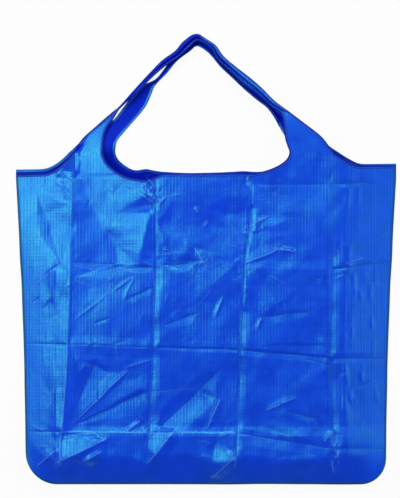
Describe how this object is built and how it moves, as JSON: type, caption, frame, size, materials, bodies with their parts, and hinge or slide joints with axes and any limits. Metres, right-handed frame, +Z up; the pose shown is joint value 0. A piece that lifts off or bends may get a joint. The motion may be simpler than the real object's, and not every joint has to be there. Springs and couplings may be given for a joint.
{
  "type": "reusable shopping bag",
  "caption": "Empty folding shopping bag of thin blue ripstop cloth, lying on its back with its mouth a little open and its cloth handles drawn together above.",
  "frame": {"origin": "on the surface the bag lies on, under the middle of its outline", "axes": "+X to the bag's right seen from the front, +Y from the bottom edge to the handles, +Z up out of the front face"},
  "size_m": [0.5401, 0.64, 0.0378],
  "materials": {
    "ripstop": "thin glossy woven nylon with a fine ripstop grid",
    "binding": "narrow folded tape of the same cloth"
  },
  "bodies": {
    "root": {"front_panel": "ripstop", "back_panel": "ripstop", "front_left_strap": "ripstop", "front_right_strap": "ripstop", "back_left_strap": "ripstop", "back_right_strap": "ripstop", "front_mouth_tape": "binding", "back_mouth_tape": "binding", "front_left_shoulder_tape": "binding", "front_right_shoulder_tape": "binding", "back_left_shoulder_tape": "binding", "back_right_shoulder_tape": "binding"}
  },
  "joints": []
}
